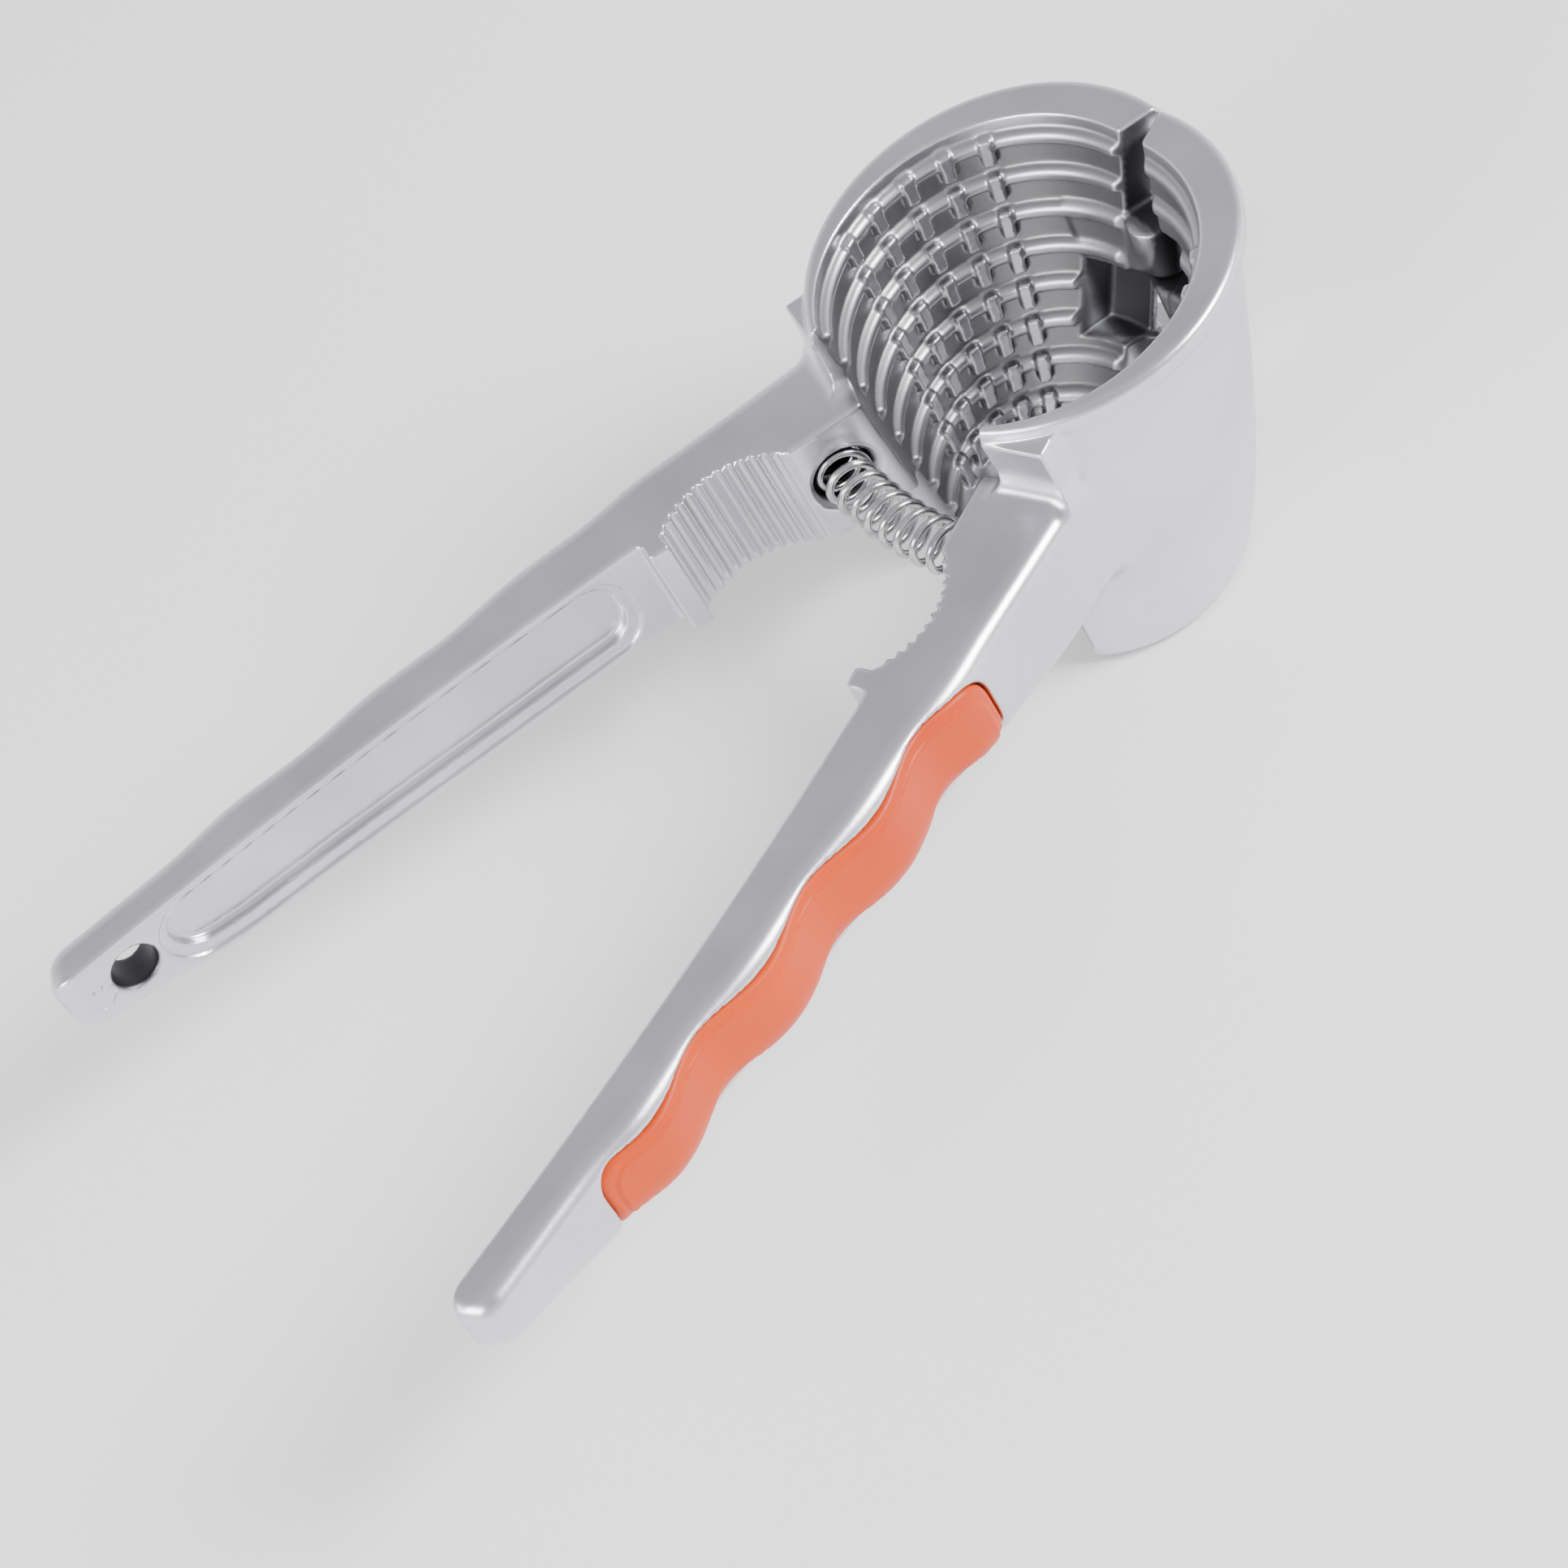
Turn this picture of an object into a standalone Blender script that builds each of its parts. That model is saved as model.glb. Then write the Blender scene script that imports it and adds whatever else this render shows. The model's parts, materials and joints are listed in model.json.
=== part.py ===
"""Two-handed nutcracker: a split ribbed cup on a hinge, two long handles, a return spring.

Units are metres. +Z runs up the cup towards its wide mouth and along the hinge pin.
-Y runs from the cup towards the handle tips. +X is the side of the right handle.
Each casting is shaped in its own half frame: the split face of its cup is x = 0 and its
metal is on +x.  The left casting is the mirror image.  Swung open by OPEN_ANGLE about
the rim corner x = 0, y = CORNER_Y, the two rims touch there; the pin sits PIN_INSET
further in, behind the wall of the cup.
"""
import math

import bmesh
import bpy
from mathutils import Vector

MM = 0.001
GAP = 0.3

# hinge
CORNER_Y = 26.3
OPEN_ANGLE = 17.4
PIN_INSET = 8.6
PIN_RADIUS = 1.4
PIN_HEAD_RADIUS = 2.3
PIN_COVER = 1.6
KNUCKLE_RADIUS = 3.1
UPPER_ARM_ROOT = (6.2, 13.4)
ARM_ROOT = (5.4, 9.6)
UPPER_KNUCKLE = (24.9, 33.2)
MIDDLE_KNUCKLE = (13.4, 24.5)
LOWER_KNUCKLE = (9.6, 13.0)
LEFT_WINDOW = 6.4
RIGHT_WINDOW = 4.4
WINDOW_SKIN = 1.1

# cup
CUP_HEIGHT = 46.0
FLANGE_HEIGHT = 3.0
FLANGE_RADIUS = 26.5
BODY_TOP_RADIUS = 25.4
BODY_FOOT_RADIUS = 16.8
BODY_FOOT_DEPTH = 16.5
BODY_X = -4.6
BODY_TOP_Y = -0.8
BODY_FOOT_Y = -11.1
BODY_CURVE = 0.7
BORE_TOP_RADIUS = 23.3
BORE_FOOT_RADIUS = 15.2
BORE_FOOT_DEPTH = 11.6
BORE_X = -6.1
BORE_TOP_Y = -2.3
BORE_FOOT_Y = -10.5
FLOOR = 2.4
SPLIT_CLEARANCE = 0.2
RING_COUNT = 8
FIRST_RING_DEPTH = 3.0
RING_PITCH = 5.4
RING_HEIGHT = 0.95
RING_WIDTH = 1.7
NUB_LENGTH = 2.4
NUB_WIDTH_ANGLE = 4.2
NUB_ANGLES = (-34.0, -19.5, -5.0, 9.5, 24.0)

# handle
HANDLE_TOP = 35.0
HANDLE_ROOT_FOOT = 16.6
ROOT_Y = -16.0
TIP_Y = -149.9
TAPER_START_Y = -60.0
TOP_EDGE_RADIUS = 2.6
FOOT_EDGE_RADIUS = 4.6
WAVE_PITCH = 22.9
WAVE_PEAK_Y = -73.0
CASTING_WAVE = 0.3
GRIP_WAVE = 0.95
GRIP_EDGE_WAVE = 0.7
GRIP_START_Y = -50.5
GRIP_END_Y = -128.5
GRIP_TOP = 33.6
GRIP_FOOT = -1.0
GRIP_DEPTH = 2.6
LAND_X = -4.1
LAND_START_Y = -26.5
LAND_END_Y = -36.3
BLOCK_X = -6.5
BLOCK_START_Y = -54.8
BLOCK_END_Y = -57.8
JAW_DEEPEST_X = -0.7
TOOTH_COUNT = 14
TOOTH_DEPTH = 0.5
RECESS_START_Y = -63.5
RECESS_END_Y = -134.0
RECESS_DEPTH = 1.8
HOLE_Y = -139.3
HOLE_RADIUS = 3.2

# spring
SPRING_Y = -31.2
SPRING_Z = 25.4
POCKET_RADIUS = 4.4
POCKET_DEPTH = 6.5
COIL_RADIUS = 3.05
WIRE_RADIUS = 0.5
COIL_TURNS = 15


# the pin axis, in the whole object's frame and in each half frame
PIN_Y = CORNER_Y - PIN_INSET
PIN_X_HALF = -PIN_INSET * math.sin(math.radians(OPEN_ANGLE))
PIN_Y_HALF = CORNER_Y - PIN_INSET * math.cos(math.radians(OPEN_ANGLE))


def clear_scene():
    for item in list(bpy.data.objects):
        bpy.data.objects.remove(item, do_unlink=True)


def make_material(name, colour, roughness, metallic):
    material = bpy.data.materials.new(name)
    material.use_nodes = True
    shader = material.node_tree.nodes["Principled BSDF"]
    shader.inputs["Base Color"].default_value = (colour[0], colour[1], colour[2], 1.0)
    shader.inputs["Roughness"].default_value = roughness
    shader.inputs["Metallic"].default_value = metallic
    return material


def make_object(name, vertices, faces, side):
    """A closed body from half-frame millimetres, mirrored for side -1, with its origin on the pin.

    Side 0 takes the whole object's frame instead of a half frame.
    """
    mesh = bpy.data.meshes.new(name)
    if side:
        placed = [(side * (x - PIN_X_HALF) * MM, (y - PIN_Y_HALF) * MM, z * MM) for x, y, z in vertices]
    else:
        placed = [(x * MM, (y - PIN_Y) * MM, z * MM) for x, y, z in vertices]
    mesh.from_pydata(placed, [], faces)
    work = bmesh.new()
    work.from_mesh(mesh)
    bmesh.ops.recalc_face_normals(work, faces=work.faces)
    work.to_mesh(mesh)
    work.free()
    item = bpy.data.objects.new(name, mesh)
    bpy.context.collection.objects.link(item)
    return item


def loft(name, rings, side):
    """A closed body through equal-length rings of points, with flat ends."""
    count = len(rings[0])
    vertices = [point for ring in rings for point in ring]
    faces = []
    for level in range(len(rings) - 1):
        low = level * count
        high = low + count
        for step in range(count):
            after = (step + 1) % count
            faces.append((low + step, low + after, high + after, high + step))
    faces.append(tuple(reversed(range(count))))
    faces.append(tuple(range(len(vertices) - count, len(vertices))))
    return make_object(name, vertices, faces, side)


def plan_prism(name, outline, low, high, side):
    """An outline in the X-Y plane raised from z = low to z = high."""
    rings = [[(x, y, z) for x, y in outline] for z in (low, high)]
    return loft(name, rings, side)


def side_prism(name, outline, low, high, side):
    """An outline in the Y-Z plane carried from x = low to x = high."""
    rings = [[(x, y, z) for y, z in outline] for x in (low, high)]
    return loft(name, rings, side)


def arc(centre, radius, start, end, steps):
    points = []
    for step in range(steps + 1):
        angle = math.radians(start + (end - start) * step / steps)
        points.append((centre[0] + radius * math.cos(angle), centre[1] + radius * math.sin(angle)))
    return points


def combine(body, tool, operation):
    """Apply one exact boolean and remove the tool."""
    modifier = body.modifiers.new(operation.lower(), "BOOLEAN")
    modifier.operation = operation
    modifier.solver = "EXACT"
    modifier.object = tool
    graph = bpy.context.evaluated_depsgraph_get()
    result = bpy.data.meshes.new_from_object(body.evaluated_get(graph))
    body.modifiers.clear()
    old = body.data
    body.data = result
    bpy.data.meshes.remove(old)
    bpy.data.objects.remove(tool, do_unlink=True)
    return body


def blend(value, low, high):
    """0 below low, 1 above high, smooth between."""
    part = min(max((value - low) / (high - low), 0.0), 1.0)
    return part * part * (3.0 - 2.0 * part)


def inner_line(y):
    run = max(TAPER_START_Y - y, 0.0)
    return -3.4 - 0.05 * run - 0.00065 * run * run


def finger_wave(y):
    return math.cos(2.0 * math.pi * (y - WAVE_PEAK_Y) / WAVE_PITCH)


def outer_line(y, wave_height):
    """Outermost x of the handle: a straight root, finger waves of the given height, a slim end."""
    root = 10.4 + 0.07 * (y + 20.0)
    waves = 5.4 + 0.142 * (y - WAVE_PEAK_Y) + wave_height * finger_wave(y)
    end = -2.9 + 0.148 * (y + 127.0)
    along = root + (waves - root) * blend(-y, 46.0, 62.0)
    return along + (end - along) * blend(-y, 119.0, 132.0)


def casting_line(y):
    return outer_line(y, CASTING_WAVE)


def grip_line(y):
    return outer_line(y, GRIP_WAVE)


def foot_line(y):
    """Underside of the handle, rising from the root to the tip."""
    root = 2.8 * blend(-y, 30.0, 60.0)
    middle = 1.2 * blend(-y, 80.0, 130.0)
    tip = 4.2 * blend(-y, 122.0, 150.0)
    return HANDLE_ROOT_FOOT + root + middle + tip


def handle_section(y, line, shrink):
    """A D-shaped section: flat inner face and top, rounded outer side."""
    inside = inner_line(y)
    outside = line(y)
    top = HANDLE_TOP
    foot = foot_line(y)
    middle_x = 0.5 * (inside + outside)
    middle_z = 0.5 * (top + foot)
    corner = 0.7
    points = arc((inside + corner, foot + corner), corner, 180.0, 270.0, 2)
    points += arc((outside - FOOT_EDGE_RADIUS, foot + FOOT_EDGE_RADIUS), FOOT_EDGE_RADIUS, 270.0, 360.0, 6)
    points += arc((outside - TOP_EDGE_RADIUS, top - TOP_EDGE_RADIUS), TOP_EDGE_RADIUS, 0.0, 90.0, 5)
    points += arc((inside + corner, top - corner), corner, 90.0, 180.0, 2)
    ring = []
    for x, z in points:
        ring.append((middle_x + (x - middle_x) * shrink, y, middle_z + (z - middle_z) * shrink))
    return ring


def handle_body(name, line, side):
    """The whole handle from inside the cup wall to its rounded tip."""
    rings = []
    steps = 46
    nose = 5.2
    for step in range(steps + 1):
        y = ROOT_Y + (TIP_Y + nose - ROOT_Y) * step / steps
        rings.append(handle_section(y, line, 1.0))
    for step in range(1, 7):
        angle = math.radians(15.0 * step * 0.93)
        y = TIP_Y + nose - nose * math.sin(angle)
        rings.append(handle_section(y, line, 0.28 + 0.72 * math.cos(angle)))
    return loft(name, rings, side)


def oval_ring(centre, width, depth, z, steps):
    ring = []
    for step in range(steps):
        angle = 2.0 * math.pi * step / steps
        ring.append((centre[0] + width * math.cos(angle), centre[1] + depth * math.sin(angle), z))
    return ring


def body_ring(z, swell):
    """One level of the cup's outside: round at the shoulder, narrower and leaning at the foot."""
    part = (max(z, 0.0) / (CUP_HEIGHT - FLANGE_HEIGHT)) ** BODY_CURVE
    width = BODY_FOOT_RADIUS + (BODY_TOP_RADIUS - BODY_FOOT_RADIUS) * part + swell
    depth = BODY_FOOT_DEPTH + (BODY_TOP_RADIUS - BODY_FOOT_DEPTH) * part + swell
    centre_y = BODY_FOOT_Y + (BODY_TOP_Y - BODY_FOOT_Y) * part
    return oval_ring((BODY_X, centre_y), width, depth, z, 72)


def cup_body(side):
    """The outside of the cup: a leaning cone with a rounded foot under a flat flange."""
    shoulder = CUP_HEIGHT - FLANGE_HEIGHT
    profile = [(0.0, -1.2), (0.4, -0.5), (1.4, 0.0), (4.0, 0.0), (8.0, 0.0)]
    profile += [(shoulder * part / 5.0, 0.0) for part in (2, 3, 4)]
    profile += [(shoulder - 1.2, 0.0), (shoulder - 0.4, 0.35)]
    rings = [body_ring(z, swell) for z, swell in profile]
    flange = [(shoulder + 0.2, -0.5), (shoulder + 0.9, 0.0), (CUP_HEIGHT - 0.9, 0.0)]
    flange += [(CUP_HEIGHT - 0.3, -0.3), (CUP_HEIGHT, -0.9)]
    for z, swell in flange:
        rings.append(oval_ring((BODY_X, 0.0), FLANGE_RADIUS + swell, FLANGE_RADIUS + swell, z, 72))
    body = loft("cup_body", rings, side)
    keep = [(SPLIT_CLEARANCE, -60.0), (60.0, -60.0), (60.0, 60.0), (SPLIT_CLEARANCE, 60.0)]
    return combine(body, plan_prism("keep", keep, -5.0, 60.0, side), "INTERSECT")


def bore_place(z):
    """Centre y, width and depth of the cup's inside at one level."""
    part = z / CUP_HEIGHT
    curved = part ** BODY_CURVE
    width = BORE_FOOT_RADIUS + (BORE_TOP_RADIUS - BORE_FOOT_RADIUS) * part
    depth = BORE_FOOT_DEPTH + (BORE_TOP_RADIUS - BORE_FOOT_DEPTH) * curved
    return BORE_FOOT_Y + (BORE_TOP_Y - BORE_FOOT_Y) * curved, width, depth


def plain_bore(margin, side):
    """The inside of the cup without its rings, drawn in by the margin."""
    rings = []
    for level in range(7):
        z = (CUP_HEIGHT + 1.0) * level / 6.0
        centre_y, width, depth = bore_place(z)
        rings.append(oval_ring((BORE_X, centre_y), width - margin, depth - margin, z, 48))
    return loft("plain_bore", rings, side)


def cup_bore(side):
    """The inside of the cup, with the gripping rings and the short bars across them."""
    angles = [-180.0, -150.0, -120.0, -100.0, -85.0, -72.0, -60.0, -48.0]
    for centre in NUB_ANGLES:
        half = 0.5 * NUB_WIDTH_ANGLE
        angles += [centre - half - 1.2, centre - half, centre + half, centre + half + 1.2]
    angles += [34.0, 44.0, 54.0, 64.0, 76.0, 90.0, 110.0, 130.0, 155.0]
    levels = [(FLOOR, 0.0, 0.0)]
    for ring in reversed(range(RING_COUNT)):
        crest = CUP_HEIGHT - FIRST_RING_DEPTH - RING_PITCH * ring
        half = 0.5 * RING_WIDTH
        if crest - NUB_LENGTH > FLOOR + 0.3:
            levels.append((crest - NUB_LENGTH - 0.4, 0.0, 0.0))
            levels.append((crest - NUB_LENGTH, 0.0, 1.0))
        levels.append((crest - half, 0.0, 1.0))
        levels.append((crest - 0.35 * half, 1.0, 1.0))
        levels.append((crest + 0.35 * half, 1.0, 1.0))
        levels.append((crest + half, 0.0, 0.0))
    levels.append((CUP_HEIGHT + 1.0, 0.0, 0.0))
    rings = []
    for z, ring_part, nub_part in levels:
        centre_y, width, depth = bore_place(z)
        ring = []
        for angle in angles:
            near = min(abs(angle - centre) for centre in NUB_ANGLES)
            on_nub = nub_part if near < 0.51 * NUB_WIDTH_ANGLE else 0.0
            rise = RING_HEIGHT * max(ring_part, on_nub * 1.25)
            turn = math.radians(angle)
            x = BORE_X + (width - rise) * math.cos(turn)
            ring.append((x, centre_y + (depth - rise) * math.sin(turn), z))
        rings.append(ring)
    return loft("cup_bore", rings, side)


def jaw_cutter(side):
    """The small nut jaw between the handles: a concave bite with upright grooves."""
    chord_start = (LAND_X, LAND_END_Y)
    chord_end = (BLOCK_X, BLOCK_START_Y)
    middle_x = 0.5 * (chord_start[0] + chord_end[0])
    middle_y = 0.5 * (chord_start[1] + chord_end[1])
    half_chord = 0.5 * math.dist(chord_start, chord_end)
    sagitta = JAW_DEEPEST_X - middle_x
    radius = (half_chord * half_chord + sagitta * sagitta) / (2.0 * sagitta)
    centre = (middle_x + sagitta - radius, middle_y)
    first = math.degrees(math.atan2(chord_start[1] - centre[1], chord_start[0] - centre[0]))
    last = math.degrees(math.atan2(chord_end[1] - centre[1], chord_end[0] - centre[0]))
    outline = [(centre[0] - 6.0, chord_start[1]), chord_start]
    for tooth in range(TOOTH_COUNT):
        for part, depth in ((0.15, 0.0), (0.5, TOOTH_DEPTH), (0.85, 0.0)):
            angle = math.radians(first + (last - first) * (tooth + part) / TOOTH_COUNT)
            reach = radius + depth
            outline.append((centre[0] + reach * math.cos(angle), centre[1] + reach * math.sin(angle)))
    outline += [chord_end, (centre[0] - 6.0, chord_end[1])]
    return plan_prism("jaw_cutter", outline, 5.0, 50.0, side)


def stadium(first, second, radius):
    """Outline around two equal circles and the band between them."""
    along = math.degrees(math.atan2(second[1] - first[1], second[0] - first[0]))
    points = arc(first, radius, along + 90.0, along + 270.0, 14)
    points += arc(second, radius, along - 90.0, along + 90.0, 10)
    return points


def knuckle(span, side):
    """A barrel around the pin, with an arm into this half's own wall that stays out of the cup."""
    pin = (PIN_X_HALF, PIN_Y_HALF)
    root = UPPER_ARM_ROOT if span == UPPER_KNUCKLE else ARM_ROOT
    arm = plan_prism("arm", stadium(pin, root, KNUCKLE_RADIUS), span[0], span[1], side)
    combine(arm, plain_bore(0.2, side), "DIFFERENCE")
    barrel = plan_prism("barrel", arc(pin, KNUCKLE_RADIUS, 0.0, 345.0, 23), span[0], span[1], side)
    return combine(barrel, arm, "UNION")


def window(span, width, side):
    """Room beside the other half's knuckle: a recess in the wall and a hole around the barrel."""
    low = span[0] - GAP
    high = span[1] + GAP
    shell = loft("window", [body_ring(z, -WINDOW_SKIN) for z in (low, high)], side)
    outline = [(-9.0, 2.0), (width, 2.0), (width, 40.0), (-9.0, 40.0)]
    combine(shell, plan_prism("limit", outline, low - 1.0, high + 1.0, side), "INTERSECT")
    barrel = arc((PIN_X_HALF, PIN_Y_HALF), KNUCKLE_RADIUS + 2.0 * GAP, 0.0, 345.0, 23)
    return combine(shell, plan_prism("barrel_room", barrel, low, high, side), "UNION")


def rounded_slot(start_y, end_y, foot, top, radius, steps):
    """A rounded rectangle in the Y-Z plane."""
    points = arc((end_y + radius, foot + radius), radius, 180.0, 270.0, steps)
    points += arc((start_y - radius, foot + radius), radius, 270.0, 360.0, steps)
    points += arc((start_y - radius, top - radius), radius, 0.0, 90.0, steps)
    points += arc((end_y + radius, top - radius), radius, 90.0, 180.0, steps)
    return points


def strip(line, start_y, end_y, near, far, low, high, side):
    """A plan strip that follows a handle line, from near to far beside it."""
    steps = 40
    rows = [start_y + (end_y - start_y) * step / steps for step in range(steps + 1)]
    outline = [(line(y) + near, y) for y in rows]
    outline += [(line(y) + far, y) for y in reversed(rows)]
    return plan_prism("strip", outline, low, high, side)


def grip_space(margin, side):
    """The pocket for the grip, or the grip's own envelope when the margin is the gap."""
    start = GRIP_START_Y - margin
    end = GRIP_END_Y + margin
    steps = 44
    outline = []
    for step in range(steps + 1):
        y = start + (end - start) * step / steps
        edge = GRIP_TOP - GRIP_EDGE_WAVE * finger_wave(y) - margin
        near_start = max(1.0 - (start - y) / 4.5, 0.0)
        near_end = max(1.0 - (y - end) / 4.5, 0.0)
        round_off = 4.0 * (1.0 - math.sqrt(1.0 - max(near_start, near_end) ** 2))
        outline.append((y, edge - round_off))
    for step in range(13):
        y = end + (start - end) * step / 12
        outline.append((y, foot_line(y) + GRIP_FOOT + margin))
    space = side_prism("grip_space", outline, -30.0, 40.0, side)
    band = strip(casting_line, GRIP_START_Y + 2.0, GRIP_END_Y - 2.0, -GRIP_DEPTH + margin, 8.0,
                 0.0, 60.0, side)
    return combine(space, band, "INTERSECT")


def spring_pocket(side):
    rings = []
    for x, radius in ((LAND_X - 3.0, POCKET_RADIUS + 0.9), (LAND_X, POCKET_RADIUS + 0.9),
                      (LAND_X + 0.9, POCKET_RADIUS), (LAND_X + POCKET_DEPTH, POCKET_RADIUS)):
        ring = []
        for step in range(28):
            angle = 2.0 * math.pi * step / 28
            ring.append((x, SPRING_Y + radius * math.cos(angle), SPRING_Z + radius * math.sin(angle)))
        rings.append(ring)
    return loft("spring_pocket", rings, side)


def recess(side):
    """The long shallow dish in the handle's inner face."""
    radius = 4.6
    foot_start = foot_line(RECESS_START_Y) + 2.2
    foot_end = foot_line(RECESS_END_Y) + 2.0
    top = HANDLE_TOP - 2.2
    outline = arc((RECESS_END_Y + radius, foot_end + radius), radius, 180.0, 270.0, 6)
    outline += arc((RECESS_START_Y - radius, foot_start + radius), radius, 270.0, 360.0, 6)
    outline += arc((RECESS_START_Y - radius, top - radius), radius, 0.0, 90.0, 6)
    outline += arc((RECESS_END_Y + radius, top - radius), radius, 90.0, 180.0, 6)
    dish = side_prism("recess", outline, -30.0, 40.0, side)
    bed = strip(inner_line, RECESS_START_Y + 2.0, RECESS_END_Y - 2.0, -6.0, RECESS_DEPTH, 0.0, 60.0, side)
    return combine(dish, bed, "INTERSECT")


def casting(name, side):
    body = cup_body(side)
    body.name = name
    body.data.name = name
    combine(body, handle_body("handle", casting_line, side), "UNION")
    land = [(LAND_X, LAND_START_Y), (LAND_X, LAND_END_Y - 0.3), (6.0, LAND_END_Y - 0.3), (6.0, -20.0),
            (SPLIT_CLEARANCE, -21.5)]
    combine(body, plan_prism("land", land, foot_line(-32.0) + 0.1, HANDLE_TOP - 0.2, side), "UNION")
    block = [(BLOCK_X, BLOCK_START_Y + 0.4), (BLOCK_X, BLOCK_END_Y), (inner_line(-60.0), -59.6),
             (2.0, -59.6), (2.0, BLOCK_START_Y + 0.4)]
    combine(body, plan_prism("block", block, foot_line(-57.0) - 0.3, HANDLE_TOP - 0.1, side), "UNION")
    if side > 0:
        own = (MIDDLE_KNUCKLE,)
        combine(body, window(UPPER_KNUCKLE, RIGHT_WINDOW, side), "DIFFERENCE")
        combine(body, window(LOWER_KNUCKLE, RIGHT_WINDOW, side), "DIFFERENCE")
    else:
        own = (UPPER_KNUCKLE, LOWER_KNUCKLE)
        combine(body, window(MIDDLE_KNUCKLE, LEFT_WINDOW, side), "DIFFERENCE")
    combine(body, cup_bore(side), "DIFFERENCE")
    for span in own:
        combine(body, knuckle(span, side), "UNION")
    combine(body, jaw_cutter(side), "DIFFERENCE")
    combine(body, grip_space(0.0, side), "DIFFERENCE")
    combine(body, recess(side), "DIFFERENCE")
    combine(body, spring_pocket(side), "DIFFERENCE")
    pin = (PIN_X_HALF, PIN_Y_HALF)
    reach = PIN_RADIUS + GAP
    room = [oval_ring(pin, reach, reach, z, 24) for z in (5.0, UPPER_KNUCKLE[1] - PIN_COVER)]
    combine(body, loft("pin_bore", room, side), "DIFFERENCE")
    if side < 0:
        middle = 0.5 * (foot_line(HOLE_Y) + HANDLE_TOP)
        rim = [(HOLE_Y + y, middle + z) for y, z in arc((0.0, 0.0), HOLE_RADIUS, 0.0, 345.0, 23)]
        combine(body, side_prism("hole", rim, -40.0, 40.0, side), "DIFFERENCE")
    return body


def grip(name, side):
    pad = handle_body(name, grip_line, side)
    combine(pad, grip_space(GAP, side), "INTERSECT")
    return pad


def hinge_pin():
    """A plain pin in a blind hole, with a low head under the bottom knuckle."""
    low = LOWER_KNUCKLE[0] - GAP
    high = UPPER_KNUCKLE[1] - PIN_COVER - GAP
    profile = [(low - 1.5, 1.7), (low - 1.1, PIN_HEAD_RADIUS), (low, PIN_HEAD_RADIUS), (low, PIN_RADIUS)]
    profile += [(high - 0.4, PIN_RADIUS), (high, PIN_RADIUS - 0.4)]
    return loft("hinge_pin", [oval_ring((0.0, PIN_Y), radius, radius, z, 28) for z, radius in profile], 0)


def spring():
    """A coil whose middle line is an arc about the hinge, square to both pockets."""
    reach = CORNER_Y - SPRING_Y
    face = math.degrees(math.asin((LAND_X + POCKET_DEPTH - GAP) / reach))
    limit = OPEN_ANGLE + face - math.degrees(WIRE_RADIUS / reach)
    turn_steps = 14
    wire_steps = 6
    total = COIL_TURNS * turn_steps
    centres = []
    for step in range(total + 1):
        part = step / total
        turns = COIL_TURNS * part
        closed = 1.1
        active = COIL_TURNS - 2.0 * closed
        pitch_rest = 2.2 * WIRE_RADIUS
        length = math.radians(2.0 * limit) * reach
        active_pitch = (length - 2.0 * closed * pitch_rest) / active
        if turns < closed:
            along = turns * pitch_rest
        elif turns > COIL_TURNS - closed:
            along = length - (COIL_TURNS - turns) * pitch_rest
        else:
            along = closed * pitch_rest + (turns - closed) * active_pitch
        swing = along / reach - math.radians(limit)
        out = Vector((math.sin(swing), -math.cos(swing), 0.0))
        angle = 2.0 * math.pi * turns
        middle = out * (reach + COIL_RADIUS * math.cos(angle))
        centres.append(middle + Vector((0.0, CORNER_Y, SPRING_Z + COIL_RADIUS * math.sin(angle))))
    rings = []
    for step, centre in enumerate(centres):
        ahead = centres[min(step + 1, total)]
        behind = centres[max(step - 1, 0)]
        along = (ahead - behind).normalized()
        across = along.cross(Vector((0.0, 0.0, 1.0))).normalized()
        upward = across.cross(along).normalized()
        ring = []
        for side_step in range(wire_steps):
            angle = 2.0 * math.pi * side_step / wire_steps
            point = centre + WIRE_RADIUS * (math.cos(angle) * across + math.sin(angle) * upward)
            ring.append((point.x, point.y, point.z))
        rings.append(ring)
    return loft("spring", rings, 0)


def finish(item, material, turn):
    """Swing the piece open, colour it, and shade it smooth except across crisp edges."""
    item.location = (0.0, PIN_Y * MM, 0.0)
    item.rotation_euler = (0.0, 0.0, math.radians(turn))
    item.data.materials.clear()
    item.data.materials.append(material)
    item.data.polygons.foreach_set("use_smooth", [True] * len(item.data.polygons))
    item.data.set_sharp_from_angle(angle=math.radians(35.0))


def centre_on_origin(items):
    """Slide everything along Y so the origin is under the middle of the whole object."""
    bpy.context.view_layer.update()
    reach = [(item.matrix_world @ vertex.co).y for item in items for vertex in item.data.vertices]
    middle = 0.5 * (min(reach) + max(reach))
    for item in items:
        item.location.y -= middle


def main():
    clear_scene()
    metal = make_material("cast_metal", (0.62, 0.61, 0.65), 0.28, 1.0)
    orange = make_material("orange_plastic", (0.92, 0.16, 0.05), 0.45, 0.0)
    steel = make_material("bright_steel", (0.72, 0.72, 0.74), 0.2, 1.0)
    pieces = [
        (casting("left_casting", -1), metal, -OPEN_ANGLE),
        (casting("right_casting", 1), metal, OPEN_ANGLE),
        (grip("left_grip", -1), orange, -OPEN_ANGLE),
        (grip("right_grip", 1), orange, OPEN_ANGLE),
        (hinge_pin(), steel, 0.0),
        (spring(), steel, 0.0),
    ]
    for item, material, turn in pieces:
        finish(item, material, turn)
    centre_on_origin([item for item, material, turn in pieces])


main()
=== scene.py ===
"""Looks of the two-handed nutcracker: plated die castings, orange grips, a bright return spring.

Each casting is described as a signed field in its own half frame, in millimetres: the split
face of its cup is x = 0, its metal is on +x, z runs up the cup and -y to the handle tip.
The field is turned into a fine mesh, mirrored for the left side and swung open on the pin.
"""

import json
import math

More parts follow.
